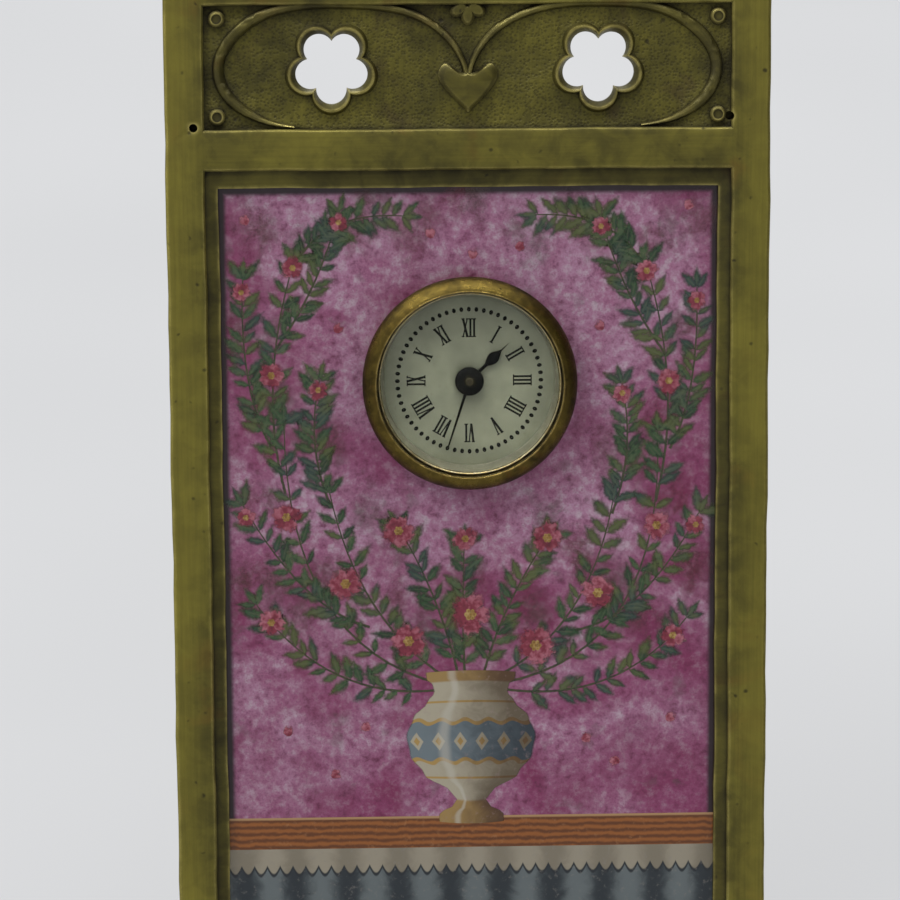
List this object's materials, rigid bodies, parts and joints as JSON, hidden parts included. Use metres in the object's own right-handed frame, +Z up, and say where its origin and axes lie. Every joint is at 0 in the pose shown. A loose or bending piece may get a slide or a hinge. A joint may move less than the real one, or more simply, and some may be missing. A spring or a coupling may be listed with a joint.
{
  "type": "easel clock",
  "caption": "Small standing clock: a cast brass frame with a pierced crest and an enamelled plaque, a drum clock let into it, and a folding strut.",
  "frame": {"origin": "middle of the frame's sole, on the surface that the clock stands on", "axes": "+Z up, +X to the right seen from the front, +Y towards the back"},
  "size_m": [0.1, 0.0651, 0.1737],
  "materials": {
    "frame_brass": "dull cast brass with dark patina in the hollows",
    "plaque_enamel": "glossy fired enamel",
    "packing_board": "plain pressed board",
    "sheet_brass": "rolled brass sheet",
    "steel": "bright steel",
    "bezel_brass": "polished brass, worn",
    "crystal_glass": "clear domed glass",
    "sight_ring_silver": "silvered brass",
    "dial_enamel": "aged cream enamel",
    "drum_brass": "satin brass",
    "movement_brass": "satin brass",
    "blued_steel": "blued spring steel",
    "key_brass": "satin brass",
    "hand_black": "black lacquer"
  },
  "bodies": {
    "root": {"frame_casting": "frame_brass", "enamel_plaque": "plaque_enamel", "packing_board": "packing_board", "back_plate": "sheet_brass", "back_plate_screws": "steel", "hinge_leaf": "sheet_brass", "hinge_rivets": "sheet_brass", "hinge_pin": "steel", "bezel": "bezel_brass", "crystal": "crystal_glass", "sight_ring": "sight_ring_silver", "dial": "dial_enamel", "dial_spacer": "movement_brass", "drum_case": "drum_brass", "rear_cap": "drum_brass", "clamp_ring": "drum_brass", "front_plate": "movement_brass", "rear_plate": "movement_brass", "plate_pillars": "movement_brass", "pillar_screws": "steel", "balance_cock": "movement_brass", "click_spring": "steel", "hairspring": "blued_steel"},
    "strut": {"strut_leg": "sheet_brass"},
    "minute": {"centre_arbor": "steel", "cannon_pinion": "steel", "minute_hand": "hand_black", "set_knob": "key_brass"},
    "hour": {"hour_wheel": "movement_brass", "hour_hand": "hand_black"},
    "minute_work": {"minute_wheel": "movement_brass"},
    "barrel": {"barrel_drum": "movement_brass", "barrel_cover": "movement_brass", "mainspring": "blued_steel"},
    "winding": {"barrel_arbor": "steel", "ratchet_wheel": "steel", "winding_key": "key_brass"},
    "click": {"click": "steel"},
    "centre": {"centre_wheel": "movement_brass"},
    "third": {"third_wheel": "movement_brass"},
    "fourth": {"fourth_wheel": "movement_brass"},
    "escape": {"escape_wheel": "movement_brass"},
    "lever": {"pallet_lever": "steel"},
    "balance": {"balance_wheel": "movement_brass", "balance_staff": "steel"},
    "regulator": {"regulator": "steel"}
  },
  "joints": [
    {"name": "strut_fold", "type": "hinge", "parent": "root", "child": "strut", "pos_m": [0, 0.02564, 0.07523], "axis": [-1, 0, 0], "range_deg": [0, 28]},
    {"name": "minute_turn", "type": "hinge", "parent": "root", "child": "minute", "pos_m": [0, 0.02729, 0.10667], "axis": [0, 0.9659, -0.2588], "continuous": true},
    {"name": "hour_turn", "type": "hinge", "parent": "root", "child": "hour", "pos_m": [0, 0.02787, 0.10652], "axis": [0, 0.9659, -0.2588], "continuous": true},
    {"name": "minute_work_turn", "type": "hinge", "parent": "root", "child": "minute_work", "pos_m": [0, 0.02938, 0.10094], "axis": [0, 0.9659, -0.2588], "continuous": true},
    {"name": "fourth_turn", "type": "hinge", "parent": "root", "child": "fourth", "pos_m": [0.00779, 0.0361, 0.10208], "axis": [0, 0.9659, -0.2588], "continuous": true},
    {"name": "third_turn", "type": "hinge", "parent": "root", "child": "third", "pos_m": [0.00541, 0.03717, 0.10606], "axis": [0, 0.9659, -0.2588], "continuous": true},
    {"name": "centre_turn", "type": "hinge", "parent": "root", "child": "centre", "pos_m": [0, 0.03666, 0.10416], "axis": [0, 0.9659, -0.2588], "continuous": true},
    {"name": "barrel_turn", "type": "hinge", "parent": "root", "child": "barrel", "pos_m": [-0.00655, 0.03764, 0.10781], "axis": [0, 0.9659, -0.2588], "continuous": true},
    {"name": "escape_turn", "type": "hinge", "parent": "root", "child": "escape", "pos_m": [0.00408, 0.03555, 0.10001], "axis": [0, 0.9659, -0.2588], "continuous": true},
    {"name": "winding_turn", "type": "hinge", "parent": "root", "child": "winding", "pos_m": [-0.00655, 0.04961, 0.1046], "axis": [0, 0.9659, -0.2588], "continuous": true, "deforming": ["mainspring"]},
    {"name": "click_lift", "type": "hinge", "parent": "root", "child": "click", "pos_m": [-0.00735, 0.04394, 0.11086], "axis": [0, 0.9659, -0.2588], "range_deg": [-12, 0], "stiffness_Nm_per_rad": 0.0000004, "deforming": ["click_spring"]},
    {"name": "lever_rock", "type": "hinge", "parent": "root", "child": "lever", "pos_m": [0.00155, 0.035, 0.09796], "axis": [0, 0.9659, -0.2588], "range_deg": [-5, 5]},
    {"name": "balance_swing", "type": "hinge", "parent": "root", "child": "balance", "pos_m": [-0.00167, 0.04067, 0.09365], "axis": [0, 0.9659, -0.2588], "range_deg": [-270, 270], "stiffness_Nm_per_rad": 0.0000007, "deforming": ["hairspring"]},
    {"name": "regulator_swing", "type": "hinge", "parent": "root", "child": "regulator", "pos_m": [-0.00167, 0.0428, 0.09308], "axis": [0, 0.9659, -0.2588], "range_deg": [-20, 20]}
  ],
  "couplings": [
    {"joint": "hour_turn", "follows": "minute_turn", "ratio": 0.083333},
    {"joint": "minute_work_turn", "follows": "minute_turn", "ratio": -0.33333},
    {"joint": "third_turn", "follows": "fourth_turn", "ratio": -0.13333},
    {"joint": "centre_turn", "follows": "fourth_turn", "ratio": 0.016667},
    {"joint": "barrel_turn", "follows": "fourth_turn", "ratio": -0.0027778},
    {"joint": "escape_turn", "follows": "fourth_turn", "ratio": -10}
  ]
}
